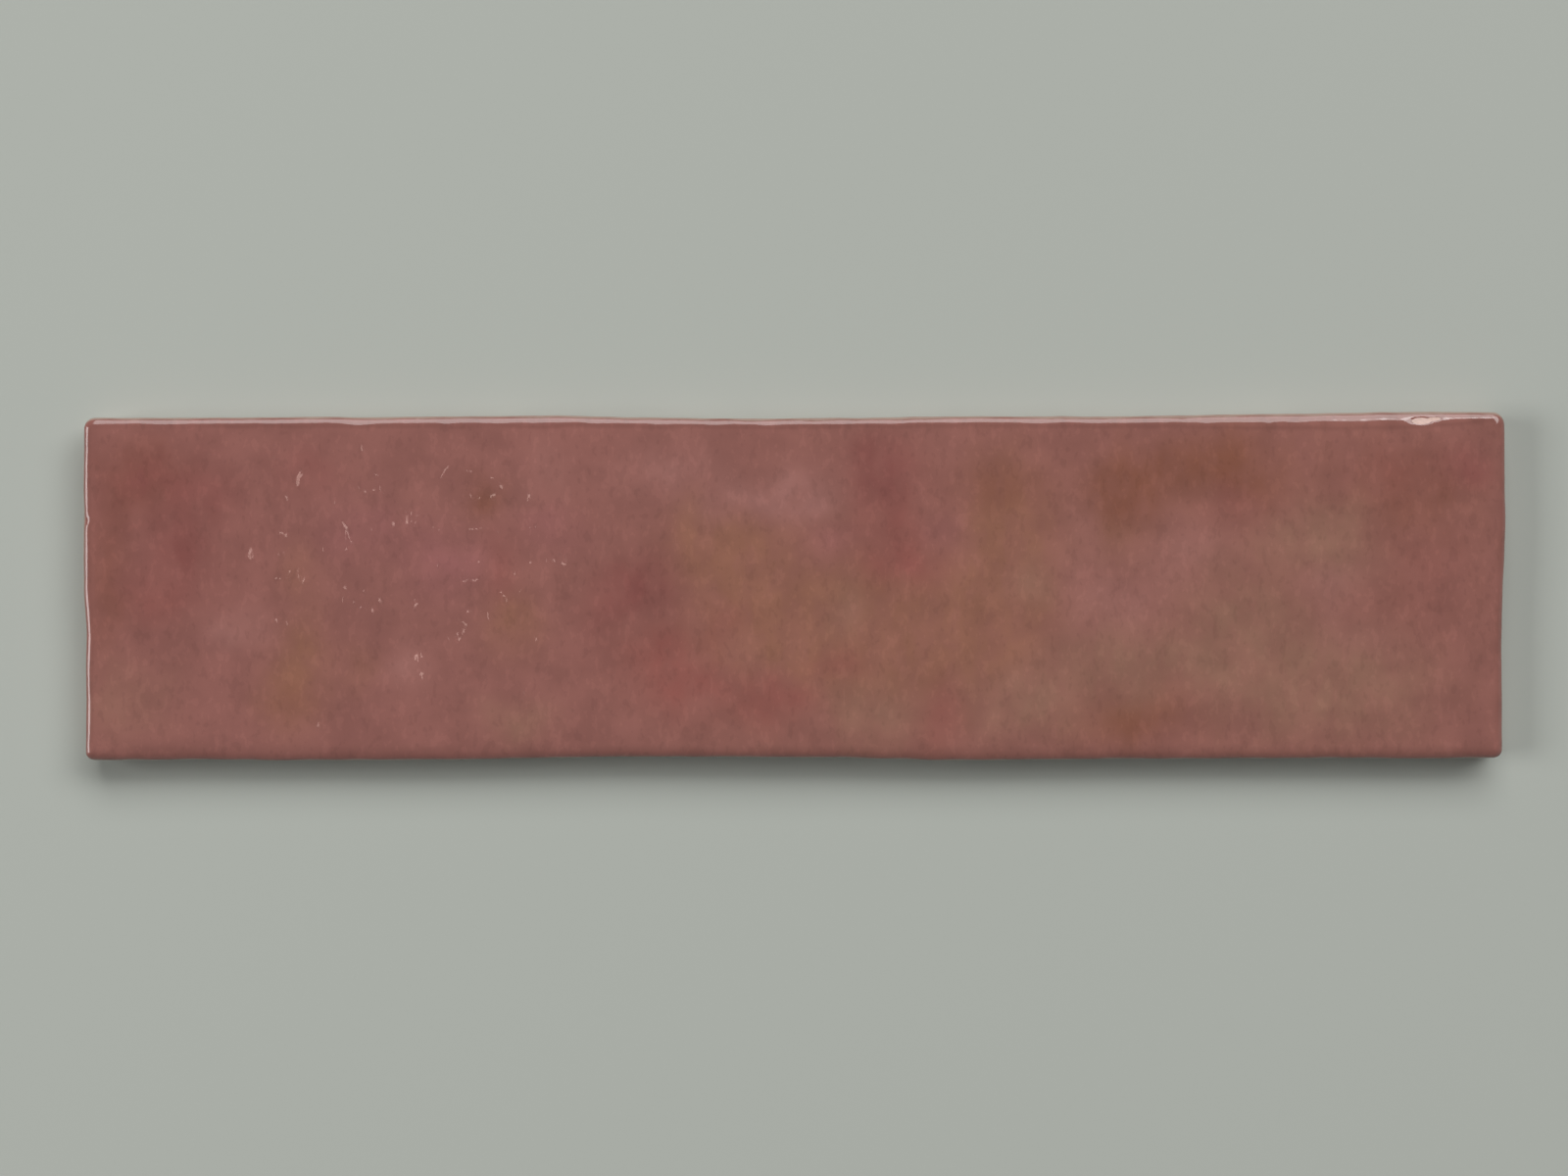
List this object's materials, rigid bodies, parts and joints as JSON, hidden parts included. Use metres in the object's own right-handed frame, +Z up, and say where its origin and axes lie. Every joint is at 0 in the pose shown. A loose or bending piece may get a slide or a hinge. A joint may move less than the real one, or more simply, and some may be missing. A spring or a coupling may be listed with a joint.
{
  "type": "glazed tile",
  "caption": "Long, narrow ceramic wall tile with a swelling glossy rose glaze, wavering hand-made edges, a rounded arris and a keyed flat back for adhesive.",
  "frame": {"origin": "middle of the keyed back, on the plane that the tile rests on", "axes": "+X along the tile, +Y across it, +Z up out of the glazed face"},
  "size_m": [0.2504, 0.0614, 0.0087],
  "materials": {
    "glaze": "glossy mottled dusty rose glaze over the face and its rounded arris, on a buff fired body"
  },
  "bodies": {
    "root": {"glazed_tile": "glaze"}
  },
  "joints": []
}
